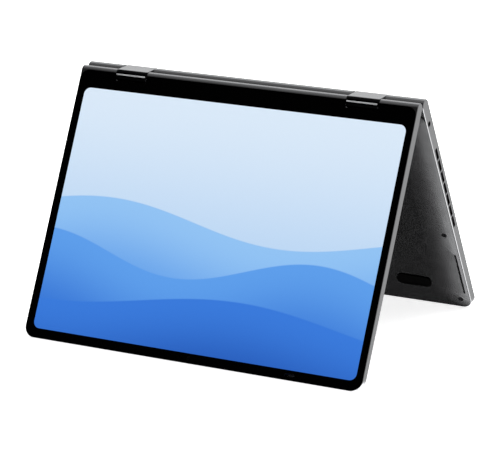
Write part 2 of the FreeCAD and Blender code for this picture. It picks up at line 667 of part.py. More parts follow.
def make_fan_housing():
    x0, y0, y1 = FAN_HOUSING
    x1 = FIN_X[0] - 0.2
    low, high = FAN_BOTTOM + FAN_SKIN, FAN_TOP - FAN_SKIN
    shell = plate(x0, x1, y0, y1, FAN_BOTTOM, FAN_TOP, 6.0)
    room = post(FAN_RADIUS + 2, FAN_X, FAN_Y, low, high)
    outlet = block(FAN_X, x1 + 1, y0 + 2, y1 - 2, low, high)
    intake = post(FAN_INTAKE_RADIUS, FAN_X, FAN_Y, FAN_BOTTOM - 1, low + 0.1)
    spindle = post(FAN_SPINDLE_RADIUS, FAN_X, FAN_Y, low + 0.1, high + 0.1)
    return shell.cut([room, outlet, intake]).fuse(spindle)


def make_fan_rotor():
    low, high = FAN_BOTTOM + 0.7, FAN_TOP - 0.7
    hub = post(FAN_HUB_RADIUS, FAN_X, FAN_Y, low, high)
    blades = []
    for index in range(FAN_BLADES):
        blade = block(FAN_BLADE_ROOT, FAN_RADIUS, -FAN_BLADE_HALF, FAN_BLADE_HALF,
                      low + 0.2, high - 0.2)
        blade.rotate(vec(FAN_BLADE_ROOT + 1, 0, 0), vec(0, 0, 1), FAN_BLADE_SWEEP)
        blade.rotate(vec(0, 0, 0), vec(0, 0, 1), 360 * index / FAN_BLADES)
        blade.translate(vec(FAN_X, FAN_Y, 0))
        blades.append(blade)
    return hub.fuse(blades).cut(post(FAN_SPINDLE_RADIUS + 0.05, FAN_X, FAN_Y, -9, 9))


def make_memory_chips():
    chips = []
    for row in range(2):
        for column in range(4):
            x = PROCESSOR[0] - MEMORY_SPREAD + row * 2 * MEMORY_SPREAD
            y = PROCESSOR[1] - 24 + column * MEMORY_STEP
            chips.append(centred_block((x, y), MEMORY_HALF, BOARD_TOP, BOARD_TOP + MEMORY_HEIGHT))
    return Part.makeCompound(chips)


def make_ssd():
    x0, x1, y0, y1 = SSD_BOARD
    low, middle, high = [BOARD_TOP + z for z in (SSD_LIFT, SSD_BOARD_TOP, SSD_CHIP_TOP)]
    board = block(x0, x1, y0, y1, low, middle)
    chips = [block(x, x + SSD_CHIP_LENGTH, y0 + 2, y1 - 2, middle, high) for x in SSD_CHIP_XS]
    connector = block(x1 - 4, x1 + 2, y0, y1, BOARD_TOP, low)
    return tidy(board.fuse(chips + [connector]))


def make_wifi_card():
    return block(*WIFI_CARD, BOARD_TOP, BOARD_TOP + WIFI_HEIGHT)


def make_battery():
    y0, y1 = BATTERY_Y
    return Part.makeCompound([plate(x, x + CELL_WIDTH, y0, y1, BATTERY_BOTTOM, BATTERY_TOP, 2.0)
                              for x in BATTERY_CELLS])


def make_battery_frame():
    x0, x1 = BATTERY_CELLS[0] - 1, BATTERY_CELLS[-1] + CELL_WIDTH + 1
    y0, y1 = BATTERY_Y[0] - 0.8, BATTERY_Y[1] + 0.8
    wall = 1.2
    frame = plate(x0 - wall, x1 + wall, y0 - wall, y1 + wall, BATTERY_BOTTOM + 0.4,
                  BATTERY_TOP, 2.0)
    return frame.cut(plate(x0, x1, y0, y1, -6, 6, 2.0))


def make_speakers():
    """Flat modules beside the battery, each with a round diaphragm facing down."""
    x, y, rim, diaphragm = SPEAKER_CONE
    bottom = SPEAKER[4]
    well = post(rim, x, y, bottom - 1, bottom + 0.5)
    cone = post(diaphragm, x, y, bottom + 0.2, bottom + 0.6)
    return both_sides(plate(*SPEAKER, 1.5).cut(well).fuse(cone))


def make_audio_jack():
    """Socket body with a sleeve through the wall, open towards the side."""
    x1 = HALF_WIDTH - WALL
    mouth = HALF_WIDTH - JACK_SET_BACK
    body = block(x1 - JACK_LENGTH, x1, JACK_Y - 3, JACK_Y + 3, JACK_Z - 2.15, JACK_Z + 2.6)
    body = body.fuse(rod(JACK_SLEEVE_RADIUS, x1 - 1, mouth, JACK_Y, JACK_Z))
    return body.cut(rod(JACK_RADIUS, x1 - JACK_LENGTH + 1, mouth + 1, JACK_Y, JACK_Z))


def make_usb_sockets():
    """Metal shells with a tongue, flush with the inside of the wall."""
    sockets = []
    x0 = -HALF_WIDTH + WALL
    x1 = x0 + SOCKET_LENGTH
    for y in USB_YS:
        shell = slot_through_side(y, USB_Z, USB_LENGTH, USB_HEIGHT - 0.1, x0, x1)
        room = slot_through_side(y, USB_Z, USB_LENGTH - 0.6, USB_HEIGHT - 0.7, x0 - 1, x1 - 0.6)
        tongue = block(x0 + 0.5, x1 - 0.5, y - 3.3, y + 3.3, USB_Z - 0.35, USB_Z + 0.35)
        sockets.append(shell.cut(room).fuse(tongue))
    return Part.makeCompound(sockets)


def make_vent_screen():
    """Thin dust screen between the fins and the slots in the wall."""
    x1 = HALF_WIDTH - WALL
    sheet = block(x1 - SCREEN_SHEET, x1, FIN_Y[0] - 1, FIN_Y[1] + 1, -2.3, 1.4)
    holes = []
    for index in range(SCREEN_HOLES):
        y = FIN_Y[0] + 0.6 + index * SCREEN_PITCH
        holes.append(block(x1 - 1, x1 + 1, y, y + 0.9, -1.9, 0.9))
    return sheet.cut(holes)


def make_base_magnets():
    return both_sides(block(*BASE_MAGNET))


# ----------------------------------------------------------------------- hinge pieces
def stadium(radius, x0, x1):
    """Obround about both hinge axes, in the hinge block's frame."""
    half = AXIS_SPACING / 2
    middle = block(x0, x1, -half, half, -radius, radius)
    return middle.fuse([rod(radius, x0, x1, -half), rod(radius, x0, x1, half)])


def make_hinge_covers():
    """Hollow caps: flat above and below, with a nose about each hinge axis."""
    flats = block(HINGE_INNER - 1, HINGE_OUTER + 1, -20, 20, -HINGE_RADIUS, HINGE_RADIUS)
    outer = tidy(stadium(HINGE_NOSE_RADIUS, HINGE_INNER, HINGE_OUTER).common(flats))
    ends = [edge for edge in outer.Edges if edge.BoundBox.XLength < 1e-3]
    outer = outer.makeFillet(HINGE_END_ROUND, ends)
    room = stadium(HINGE_RADIUS - HINGE_WALL, HINGE_INNER - 1, HINGE_OUTER - 1.0)
    return both_sides(tidy(outer.cut(room)))


CARRIER_PLATES = ((HINGE_INNER + 0.1, HINGE_INNER + 1.6), (96.0, 97.5), (102.5, 104.0))
GEAR_SPAN = (98.0, 102.0)


def gear_places():
    """Axis positions of the four gears in line, from the base axis to the lid axis."""
    return [AXIS_SPACING / 2 - index * AXIS_SPACING / 3 for index in range(4)]


def make_carrier_plates():
    plates = []
    for index, (x0, x1) in enumerate(CARRIER_PLATES):
        solid = stadium(HINGE_RADIUS - HINGE_WALL, x0, x1)
        at_gear_end = index == 2
        shaft = SHAFT_END_RADIUS if at_gear_end else SHAFT_RADIUS
        axes = gear_places()
        holes = [rod(shaft + RUNNING, x0 - 1, x1 + 1, axes[0]),
                 rod(shaft + RUNNING, x0 - 1, x1 + 1, axes[3])]
        if index > 0:
            holes += [rod(IDLER_PIN_RADIUS + RUNNING, x0 - 1, x1 + 1, y) for y in axes[1:3]]
        plates.append(tidy(solid).cut(holes))
    return both_sides(Part.makeCompound(plates))


def make_friction_clips():
    axes = gear_places()
    clip = tidy(stadium(3.2, 90.0, 95.2))
    clip = clip.cut([rod(SHAFT_RADIUS + RUNNING, 89, 97, axes[0]),
                     rod(SHAFT_RADIUS + RUNNING, 89, 97, axes[3]),
                     block(89, 97, -AXIS_SPACING / 2, AXIS_SPACING / 2, -0.3, 0.3)])
    return both_sides(tidy(clip))


def gear(phase, y, bore):
    """Straight-toothed gear about an X axis at y; phase turns it in degrees."""
    pitch_radius = AXIS_SPACING / 6
    module = 2 * pitch_radius / GEAR_TEETH
    tip, root = pitch_radius + 0.72 * module, pitch_radius - 0.95 * module
    step = 360 / GEAR_TEETH
    points = []
    for tooth in range(GEAR_TEETH):
        middle = phase + tooth * step
        for share, radius in ((-0.29, root), (-0.085, tip), (0.085, tip), (0.29, root)):
            angle = math.radians(middle + share * step)
            points.append(vec(GEAR_SPAN[0], y + radius * math.cos(angle), radius * math.sin(angle)))
    points.append(points[0])
    wheel = Part.Face(Part.makePolygon(points)).extrude(vec(GEAR_SPAN[1] - GEAR_SPAN[0], 0, 0))
    if bore:
        wheel = wheel.cut(rod(bore, GEAR_SPAN[0] - 1, GEAR_SPAN[1] + 1, y))
    return wheel


def shaft_gears(index):
    """The gear fixed on a shaft; alternate gears are turned by half a tooth."""
    phase = (index % 2) * 180 / GEAR_TEETH
    return both_sides(gear(phase, gear_places()[index], SHAFT_END_RADIUS))


def idler_gears(index):
    phase = (index % 2) * 180 / GEAR_TEETH
    y = gear_places()[index]
    pin = rod(IDLER_PIN_RADIUS, CARRIER_PLATES[1][0] + 0.3, CARRIER_PLATES[2][1], y)
    return both_sides(gear(phase, y, 0).fuse(pin))


def hinge_arm(plate_low, plate_high):
    """Shaft with the flat arm that its half's screws hold, in that half's frame."""
    shaft = rod(SHAFT_RADIUS, ARM_INNER, CARRIER_PLATES[1][1] + 0.3)
    tip = rod(SHAFT_END_RADIUS, CARRIER_PLATES[1][1], CARRIER_PLATES[2][1])
    arm = plate(ARM_INNER, ARM_OUTER, 0, ARM_REACH, plate_low, plate_high, 0, 3.0)
    holes = [post(ARM_SCREW_RADIUS + 0.05, x, y, plate_low - 1, plate_high + 1)
             for x, y in ARM_SCREWS]
    return both_sides(tidy(shaft.fuse([tip, arm])).cut(holes))


def arm_screws(head_face, depth):
    screws = []
    for x, y in ARM_SCREWS:
        head = post(ARM_HEAD_RADIUS, x, y, head_face - ARM_HEAD_HEIGHT, head_face)
        screws.append(head.fuse(post(ARM_SCREW_RADIUS, x, y, head_face, head_face + depth)))
    return both_sides(Part.makeCompound(screws))


# ------------------------------------------------------------------------ screen half
LID_ARM = (0.2, 1.2)


def make_lid_cover(outer):
    inner_half = HALF_WIDTH - LID_WALL
    start, end = CAVITY_START, LID_BACK_REACH - LID_END_WALL
    profile = Part.makePolygon([
        vec(-inner_half, start, GLASS_FACE - 1), vec(-inner_half, end, GLASS_FACE - 1),
        vec(-inner_half, end, lid_back(end) - LID_SKIN),
        vec(-inner_half, start, lid_back(start) - LID_SKIN),
        vec(-inner_half, start, GLASS_FACE - 1),
    ])
    cavity = Part.Face(profile).extrude(vec(2 * inner_half, 0, 0))
    cavity = cavity.common(plate(-inner_half, inner_half, start, end, -9, 9, 2,
                                 CORNER_RADIUS - LID_WALL))
    glass_seat = plate(-GLASS_HALF - 0.05, GLASS_HALF + 0.05, GLASS_START - 0.05,
                       GLASS_END + 0.05, GLASS_FACE - 2, GLASS_BACK + MASK_THICKNESS,
                       GLASS_CORNER, GLASS_FREE_CORNER + 0.05)
    channels = barrel_channels(-2.5, -2.3, 2.3, CAVITY_START + 0.5)
    shell = outer.cut([cavity, glass_seat] + channels)
    bosses, holes = [], []
    for side in SIDES:
        for x, y in ARM_SCREWS:
            top = lid_back(y) - LID_SKIN + 0.2
            bosses.append(post(ARM_BOSS_RADIUS, side * x, y, LID_ARM[1], top))
            holes.append(post(ARM_SCREW_RADIUS, side * x, y, LID_ARM[1] - 1, LID_ARM[1] + 1.5))
    return tidy(shell.fuse(bosses).cut(notches() + holes))


def make_cover_glass():
    glass = plate(-GLASS_HALF, GLASS_HALF, GLASS_START, GLASS_END, GLASS_FACE, GLASS_BACK,
                  GLASS_CORNER, GLASS_FREE_CORNER)
    return tidy(glass.cut(notches()))


def screen_window():
    return (-GLASS_HALF + BEZEL_SIDE, GLASS_HALF - BEZEL_SIDE,
            GLASS_START + BEZEL_CHIN, GLASS_END - BEZEL_TOP)


def make_bezel_mask():
    """Black printed border on the inside of the glass, with the screen's window."""
    x0, x1, y0, y1 = screen_window()
    low, high = GLASS_BACK, GLASS_BACK + MASK_THICKNESS
    sheet = plate(-GLASS_HALF, GLASS_HALF, GLASS_START, GLASS_END, low, high, GLASS_CORNER,
                  GLASS_FREE_CORNER)
    window = plate(x0, x1, y0, y1, low - 1, high + 1, SCREEN_CORNER)
    camera = post(CAMERA_RADIUS + 0.1, CAMERA_X, CAMERA_Y, low - 1, high + 1)
    sensor = sensor_outline(0.1, low - 1, high + 1)
    return tidy(sheet.cut(notches() + [window, camera, sensor]))


def sensor_outline(grow, low, high):
    along, across = SENSOR_HALF[0] + grow, SENSOR_HALF[1] + grow
    return obround(SENSOR_WINDOW_X - along, SENSOR_WINDOW_X + along, CAMERA_Y - across,
                   CAMERA_Y + across, low, high)


def make_display_panel():
    x0, x1, y0, y1 = screen_window()
    low = GLASS_BACK + MASK_THICKNESS
    return plate(x0 - 1.5, x1 + 1.5, y0 - 2.5, y1 + 0.6, low, low + PANEL_THICKNESS, 1.0)


def make_backlight():
    x0, x1, y0, y1 = screen_window()
    low = GLASS_BACK + MASK_THICKNESS + PANEL_THICKNESS
    return plate(x0 - 1.0, x1 + 1.0, y0 - 2.0, y1 + 0.3, low, low + BACKLIGHT_THICKNESS, 1.0)


def make_camera_module():
    low = GLASS_BACK + MASK_THICKNESS
    body = block(CAMERA_X - 9, CAMERA_X + 9, CAMERA_Y - 2.4, CAMERA_Y + 1.5, low + 0.8, low + 2.2)
    barrel = post(CAMERA_RADIUS, CAMERA_X, CAMERA_Y, low - MASK_THICKNESS, low + 0.9)
    aperture = post(CAMERA_APERTURE, CAMERA_X, CAMERA_Y, GLASS_BACK - 1, low + 0.3)
    return body.fuse(barrel).cut(aperture)


def make_sensor_window():
    return sensor_outline(0, GLASS_BACK, GLASS_BACK + 0.9)


def make_microphones():
    low = GLASS_BACK + MASK_THICKNESS
    x0, x1 = MICROPHONE_X
    return both_sides(block(x0, x1, CAMERA_Y - 1.9, CAMERA_Y + 1.5, low, low + 1.0))


def make_antennas():
    return both_sides(block(*ANTENNA))


def make_lid_magnets():
    low = GLASS_BACK + MASK_THICKNESS
    return both_sides(block(*LID_MAGNET, low, low + 2.4))


# ------------------------------------------------------------------- stand up and save
def stand(shape, turn, y, z):
    """Turn about X by turn degrees, then carry the half's hinge axis to (y, z)."""
    placed = shape.copy()
    placed.rotate(vec(0, 0, 0), vec(1, 0, 0), turn)
    placed.translate(vec(0, y, z))
    return placed


def base_outer():
    return outer_half(BASE_RADIUS, BASE_REACH, BASE_BACK_REACH, BASE_EDGE_DEPTH, 1)


def lid_outer():
    return outer_half(LID_RADIUS, LID_REACH, LID_BACK_REACH, LID_EDGE_DEPTH, -1)


def floor_tilt():
    """Small turn about X that brings both free edges down to one level."""
    half = AXIS_SPACING / 2
    base_half = stand(base_outer(), LEAN - 90, half, 0)
    lid_half = stand(lid_outer(), -LEAN - 90, -half, 0)
    tilt = 0.0
    for _ in range(4):
        base_box = stand(base_half, tilt, 0, 0).optimalBoundingBox(False)
        lid_box = stand(lid_half, tilt, 0, 0).optimalBoundingBox(False)
        drop = (base_box.ZMin - lid_box.ZMin) / (base_box.YMax - lid_box.YMin)
        tilt -= math.degrees(math.atan(drop))
    return tilt


def base_nodes():
    outer = base_outer()
    front = Part.makeCompound([make_foot(place, FRONT_FOOT_PROUD) for place in foot_places()[:2]])
    nodes = {
        "top_case": make_top_case(outer),
        "bottom_cover": make_bottom_cover(outer),
        "bottom_screws": make_bottom_screws(),
        "front_feet": front,
        "rear_foot": make_foot(REAR_FOOT, REAR_FOOT_PROUD),
        "keyboard_frame": make_keyboard_frame(),
        "keyboard_plate": make_keyboard_plate(),
        "touchpad": make_touchpad(),
        "touchpad_bracket": make_touchpad_bracket(),
        "touchpad_switch": make_touchpad_switch(),
        "mainboard": make_mainboard(),
        "board_standoffs": make_board_standoffs(),
        "board_screws": make_board_screws(),
        "processor": make_processor(),
        "cold_plate": make_cold_plate(),
        "heat_pipe": make_heat_pipe(),
        "heatsink_fins": make_fins(),
        "fan_housing": make_fan_housing(),
        "fan_rotor": make_fan_rotor(),
        "memory_chips": make_memory_chips(),
        "ssd_module": make_ssd(),
        "wifi_card": make_wifi_card(),
        "battery_cells": make_battery(),
        "battery_frame": make_battery_frame(),
        "speakers": make_speakers(),
        "audio_jack": make_audio_jack(),
        "usb_c_sockets": make_usb_sockets(),
        "vent_screen": make_vent_screen(),
        "base_magnets": make_base_magnets(),
        "hinge_base_arms": hinge_arm(-ARM_THICKNESS / 2, ARM_THICKNESS / 2),
        "hinge_base_screws": arm_screws(-ARM_THICKNESS / 2, 3.2),
    }
    for name, places in key_places().items():
        nodes[name] = Part.makeCompound([cap(*place) for place in places])
    return nodes


def hinge_nodes():
    return {
        "hinge_covers": make_hinge_covers(),
        "hinge_carrier_plates": make_carrier_plates(),
        "hinge_friction_clips": make_friction_clips(),
        "hinge_base_gears": shaft_gears(0),
        "idler_gears_base_side": idler_gears(1),
        "idler_gears_lid_side": idler_gears(2),
        "hinge_lid_gears": shaft_gears(3),
    }


def lid_nodes():
    return {
        "lid_cover": make_lid_cover(lid_outer()),
        "cover_glass": make_cover_glass(),
        "bezel_mask": make_bezel_mask(),
        "display_panel": make_display_panel(),
        "display_backlight": make_backlight(),
        "camera_module": make_camera_module(),
        "sensor_window": make_sensor_window(),
        "microphones": make_microphones(),
        "antennas": make_antennas(),
        "lid_magnets": make_lid_magnets(),
        "hinge_lid_arms": hinge_arm(*LID_ARM),
        "hinge_lid_screws": arm_screws(LID_ARM[0], 2.4),
    }


def main():
    half = AXIS_SPACING / 2
    tilt = floor_tilt()
    groups = ((base_nodes(), LEAN - 90, half), (hinge_nodes(), 0, 0),
              (lid_nodes(), -LEAN - 90, -half))
    placed = {}
    for nodes, turn, y in groups:
        for name, shape in nodes.items():
            placed[name] = stand(stand(shape, turn, y, 0), tilt, 0, 0)
    shells = Part.makeCompound([placed["top_case"], placed["lid_cover"]]).optimalBoundingBox(False)
    lift = vec(0, -(shells.YMin + shells.YMax) / 2, -shells.ZMin)
    across, along = half * math.cos(math.radians(tilt)), half * math.sin(math.radians(tilt))
    print("tilt", tilt)
    print("base hinge axis y, z", lift.y + across, lift.z + along)
    print("lid hinge axis y, z", lift.y - across, lift.z - along)
    os.makedirs("parts", exist_ok=True)
    for name, shape in placed.items():
        shape.translate(lift)
        shape.exportStep("parts/" + name + ".step")
    print(len(placed), "parts")


main()
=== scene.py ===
"""Looks of the convertible laptop: materials, lit screen, key legends, studio and camera."""
import bpy
import json
import math
from mathutils import Matrix, Vector


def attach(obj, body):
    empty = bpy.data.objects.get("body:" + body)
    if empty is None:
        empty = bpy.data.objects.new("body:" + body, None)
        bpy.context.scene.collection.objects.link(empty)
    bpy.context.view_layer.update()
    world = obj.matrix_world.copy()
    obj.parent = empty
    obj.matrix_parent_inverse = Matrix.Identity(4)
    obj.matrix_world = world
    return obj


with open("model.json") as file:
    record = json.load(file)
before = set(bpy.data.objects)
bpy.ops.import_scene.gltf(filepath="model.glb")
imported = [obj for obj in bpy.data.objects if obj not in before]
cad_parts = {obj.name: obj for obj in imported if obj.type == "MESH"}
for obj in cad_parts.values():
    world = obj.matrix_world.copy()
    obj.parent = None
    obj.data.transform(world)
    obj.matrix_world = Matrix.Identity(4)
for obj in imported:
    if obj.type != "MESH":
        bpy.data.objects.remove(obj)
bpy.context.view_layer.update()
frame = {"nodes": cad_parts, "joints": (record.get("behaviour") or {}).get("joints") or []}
NODES = frame["nodes"]
JOINTS = {joint["name"]: joint for joint in frame["joints"]}
MM = 0.001

# ------------------------------------------------------------------- the two halves
BASE_AXIS = Vector(JOINTS["hinge_base_turn"]["pos_m"])
LID_AXIS = Vector(JOINTS["hinge_lid_turn"]["pos_m"])
BETWEEN_AXES = (BASE_AXIS + LID_AXIS) / 2
ACROSS_AXES = BASE_AXIS - LID_AXIS
TILT = math.atan2(ACROSS_AXES.z, ACROSS_AXES.y)
LEAN = math.radians(180 + JOINTS["hinge_base_turn"]["range_deg"][0])


def in_side_view(angle):
    """Unit vector at an angle from +Y towards +Z."""
    return Vector((0, math.cos(angle), math.sin(angle)))


BASE_DOWN = in_side_view(TILT + LEAN - math.pi / 2)      # hinge axis to free edge
BASE_UP = in_side_view(TILT + LEAN)                      # square out of the key deck
LID_DOWN = in_side_view(TILT - LEAN - math.pi / 2)


# ------------------------------------------------------------------------ node writer
class Shade:
    """Writes the nodes of one material or world; values are numbers or sockets."""

    def __init__(self, owner, output="ShaderNodeOutputMaterial"):
        self.owner = owner
        owner.use_nodes = True
        self.tree = owner.node_tree
        self.tree.nodes.clear()
        self.output = self.tree.nodes.new(output)

    def put(self, node, socket, value):
        target = node.inputs[socket]
        if isinstance(value, bpy.types.NodeSocket):
            self.tree.links.new(value, target)
        elif isinstance(value, (tuple, list, Vector)) and len(target.default_value) == 4:
            target.default_value = tuple(value)[:3] + (1.0,)
        else:
            target.default_value = value

    def node(self, kind, **values):
        made = self.tree.nodes.new(kind)
        for socket, value in values.items():
            self.put(made, socket.replace("_", " "), value)
        return made

    def math(self, operation, first, second=0.0, third=0.0):
        made = self.tree.nodes.new("ShaderNodeMath")
        made.operation = operation
        for index, value in enumerate((first, second, third)):
            self.put(made, index, value)
        return made.outputs[0]

    def mix(self, share, first, second):
        made = self.tree.nodes.new("ShaderNodeMix")
        made.data_type = "RGBA"
        self.put(made, "Factor", share)
        self.put(made, 6, first)
        self.put(made, 7, second)
        return made.outputs[2]

    def place(self):
        return self.tree.nodes.new("ShaderNodeTexCoord").outputs["Object"]

    def along(self, direction, origin=(0, 0, 0)):
        """Distance in mm from origin along a direction."""
        shifted = self.vector_math("SUBTRACT", self.place(), origin)
        return self.vector_math("DOT_PRODUCT", shifted.outputs[0],
                                Vector(direction) / MM).outputs["Value"]

    def vector_math(self, operation, first, second):
        made = self.tree.nodes.new("ShaderNodeVectorMath")
        made.operation = operation
        self.put(made, 0, first)
        self.put(made, 1, second)
        return made

    def fade(self, value, start, end):
        """0 to 1 as value goes from start to end, either way round."""
        made = self.node("ShaderNodeMapRange", From_Min=float(start), From_Max=float(end))
        made.interpolation_type = "SMOOTHSTEP"
        self.put(made, "Value", value)
        return made.outputs[0]

    def blend(self, share, first, second):
        """Shader between two shaders."""
        mixed = self.tree.nodes.new("ShaderNodeMixShader")
        self.put(mixed, 0, share)
        self.tree.links.new(first.outputs[0], mixed.inputs[1])
        self.tree.links.new(second.outputs[0], mixed.inputs[2])
        self.tree.links.new(mixed.outputs[0], self.output.inputs["Surface"])

    def noise(self, size_mm, detail=3.0, roughness=0.6):
        made = self.node("ShaderNodeTexNoise", Scale=1 / (size_mm * MM), Detail=detail,
                         Roughness=roughness)
        self.put(made, "Vector", self.place())
        return made.outputs["Fac"]

    def spread(self, value, low, high):
        """Value from 0..1 to low..high."""
        made = self.node("ShaderNodeMapRange", To_Min=low, To_Max=high)
        self.put(made, "Value", value)
        return made.outputs[0]

    def bump(self, height, distance_mm, strength=1.0):
        made = self.node("ShaderNodeBump", Strength=strength, Distance=distance_mm * MM)
        self.put(made, "Height", height)
        return made.outputs[0]

    def principled(self, **values):
        made = self.node("ShaderNodeBsdfPrincipled", **values)
        self.tree.links.new(made.outputs[0], self.output.inputs["Surface"])
        return made


def tint(color, factor):
    return tuple(min(1.0, channel * factor) for channel in color)


PATCH_SIZE, GLOSS_PATCH_SIZE = 38, 9   # mm, slow changes of tone and of gloss
PATCH = 0.06                           # how far the tone goes either way
GLOSS_CHANGE = 0.035
NOSE_SHADE_START, NOSE_SHADE_FULL = 1.7, 2.3       # mm in front of the screen half's axis where the painted shade on the hinge nose starts and is full


def metal(name, color, roughness, grain_mm=0.12, grain_depth=0.006, nose=None):
    """Blasted and anodised metal; the nose colour is a painted shade that darkens what lies
    before the lid's axis, standing in for the dark room that the hinge nose reflects.
    """
    s = Shade(bpy.data.materials.new(name))
    tone = s.mix(s.noise(PATCH_SIZE, 2), tint(color, 1 - PATCH), tint(color, 1 + PATCH))
    if nose:
        # Painted shade: the hinge nose in front of the lid's axis is darkened to the nose
        # colour.
        forward = s.along(-ACROSS_AXES.normalized(), LID_AXIS)
        tone = s.mix(s.fade(forward, NOSE_SHADE_START, NOSE_SHADE_FULL), tone, nose)
    gloss = s.spread(s.noise(GLOSS_PATCH_SIZE, 4), roughness - GLOSS_CHANGE,
                     roughness + GLOSS_CHANGE)
    s.principled(Base_Color=tone, Metallic=1.0, Roughness=gloss,
                 Normal=s.bump(s.noise(grain_mm, 2, 0.5), grain_depth, 0.5))
    return s.owner


LINE_STRETCH, LINE_SCALE = (0.04, 1, 1), 4200.0
LINE_TONE, LINE_GLOSS, LINE_DEPTH = 0.15, 0.06, 0.004


def brushed(name, color, roughness):
    """Rolled or turned steel with fine lines across the computer."""
    s = Shade(bpy.data.materials.new(name))
    stretch = s.node("ShaderNodeMapping", Scale=LINE_STRETCH)
    s.put(stretch, "Vector", s.place())
    lines = s.node("ShaderNodeTexNoise", Scale=LINE_SCALE, Detail=3.0)
    s.put(lines, "Vector", stretch.outputs[0])
    share = lines.outputs["Fac"]
    s.principled(Base_Color=s.mix(share, tint(color, 1 - LINE_TONE), tint(color, 1 + LINE_TONE)),
                 Metallic=1.0,
                 Roughness=s.spread(share, roughness - LINE_GLOSS, roughness + LINE_GLOSS),
                 Normal=s.bump(share, LINE_DEPTH, 0.4))
    return s.owner


MOULD_PATCH_SIZE, MOULD_GLOSS_SIZE = 6, 1.6      # mm
MOULD_TONE, MOULD_GLOSS = 0.14, 0.06


def moulded(name, color, roughness, grain_mm=0.25, grain_depth=0.02, specular=0.5):
    """Moulded plastic or rubber with a spark-eroded grain."""
    s = Shade(bpy.data.materials.new(name))
    tone = s.mix(s.noise(MOULD_PATCH_SIZE, 3), tint(color, 1 - MOULD_TONE),
                 tint(color, 1 + MOULD_TONE))
    gloss = s.spread(s.noise(MOULD_GLOSS_SIZE, 3), roughness - MOULD_GLOSS,
                     roughness + MOULD_GLOSS)
    s.principled(Base_Color=tone, Roughness=gloss, Specular_IOR_Level=specular,
                 Normal=s.bump(s.noise(grain_mm, 2, 0.5), grain_depth, 0.6))
    return s.owner


MASK_DARK, MASK_LIGHT, PAD_GOLD = (0.006, 0.035, 0.022), (0.012, 0.07, 0.045), (0.6, 0.45, 0.2)
TRACK_SCALE, PAD_REACH = 420.0, 0.62


def circuit(name):
    """Solder mask with tracks and pads."""
    s = Shade(bpy.data.materials.new(name))
    cells = s.node("ShaderNodeTexVoronoi", Scale=TRACK_SCALE)
    cells.distance = "CHEBYCHEV"
    s.put(cells, "Vector", s.place())
    pads = s.math("GREATER_THAN", cells.outputs["Distance"], PAD_REACH)
    green = s.mix(s.noise(3, 4), MASK_DARK, MASK_LIGHT)
    s.principled(Base_Color=s.mix(pads, green, PAD_GOLD), Roughness=0.38,
                 Metallic=s.math("MULTIPLY", pads, 0.9),
                 Normal=s.bump(cells.outputs["Distance"], 0.03, 0.4))
    return s.owner


GLASS_IOR = 1.5
GLASS_ROUGHNESS = (0.02, 0.06)


def clear_glass(name, reflection):
    """Thin clear glass: lets everything behind through and adds a weak reflection."""
    s = Shade(bpy.data.materials.new(name))
    clear = s.tree.nodes.new("ShaderNodeBsdfTransparent")
    gloss = s.node("ShaderNodeBsdfGlossy", Color=(1, 1, 1),
                   Roughness=s.spread(s.noise(30, 3), *GLASS_ROUGHNESS))
    edge = s.node("ShaderNodeFresnel", IOR=GLASS_IOR)
    s.blend(s.math("MULTIPLY", edge.outputs[0], reflection), clear, gloss)
    return s.owner


# ---------------------------------------------------------------------- screen picture
def rgb(code):
    """Linear colour of a screen colour code."""
    parts = [((code >> shift) & 255) / 255 for shift in (16, 8, 0)]
    return tuple(((part + 0.055) / 1.055) ** 2.4 for part in parts)


# A plain made-up picture: a pale sky over three rolling waves.
SKY_TOP, SKY_FOOT = 0xDCEBFA, 0xA6CBF2
SKY_SPAN = (0.0, 220.0)          # mm down from the hinge axis
WAVE_EDGE = 1.2                  # width of a wave's painted edge
WAVE_SHADE = 75.0                # mm over which a wave darkens below its crest
WAVES = (                        # mm down, height, length, start of the wave, crest, foot
    (110.0, 11.0, 300.0, 0.4, 0x93C4F5, 0x5E9DEA),
    (142.0, 13.0, 240.0, 2.3, 0x5F9FEC, 0x3574D6),
    (176.0, 10.0, 340.0, 4.1, 0x3B7BDC, 0x1F4FAE),
)


def screen_picture(name):
    """Lit picture of a sky over waves, painted from the back one forwards."""
    s = Shade(bpy.data.materials.new(name))
    across = s.along((1, 0, 0))
    down = s.along(LID_DOWN, LID_AXIS)
    picture = s.mix(s.fade(down, *SKY_SPAN), rgb(SKY_TOP), rgb(SKY_FOOT))
    for level, height, length, start, crest, foot in WAVES:
        phase = s.math("MULTIPLY_ADD", across, 2 * math.pi / length, start)
        surface = s.math("MULTIPLY_ADD", s.math("SINE", phase), height, level)
        depth = s.math("SUBTRACT", down, surface)
        tone = s.mix(s.fade(depth, 0, WAVE_SHADE), rgb(crest), rgb(foot))
        picture = s.mix(s.fade(depth, 0, WAVE_EDGE), picture, tone)
    strength = s.math("MULTIPLY_ADD", s.noise(2.5, 2), 0.02, 0.99)
    s.principled(Base_Color=(0, 0, 0), Roughness=0.6, Emission_Color=picture,
                 Emission_Strength=strength, Specular_IOR_Level=0.0)
    return s.owner


# --------------------------------------------------------------------------- dressing
def dress(material, *names):
    for name in names:
        node = NODES[name]
        node.data.materials.clear()
        node.data.materials.append(material)


CASE = (0.215, 0.217, 0.222)
dress(metal("case_metal", CASE, 0.23), "top_case", "lid_cover")
dress(metal("cover_metal", CASE, 0.18), "bottom_cover")
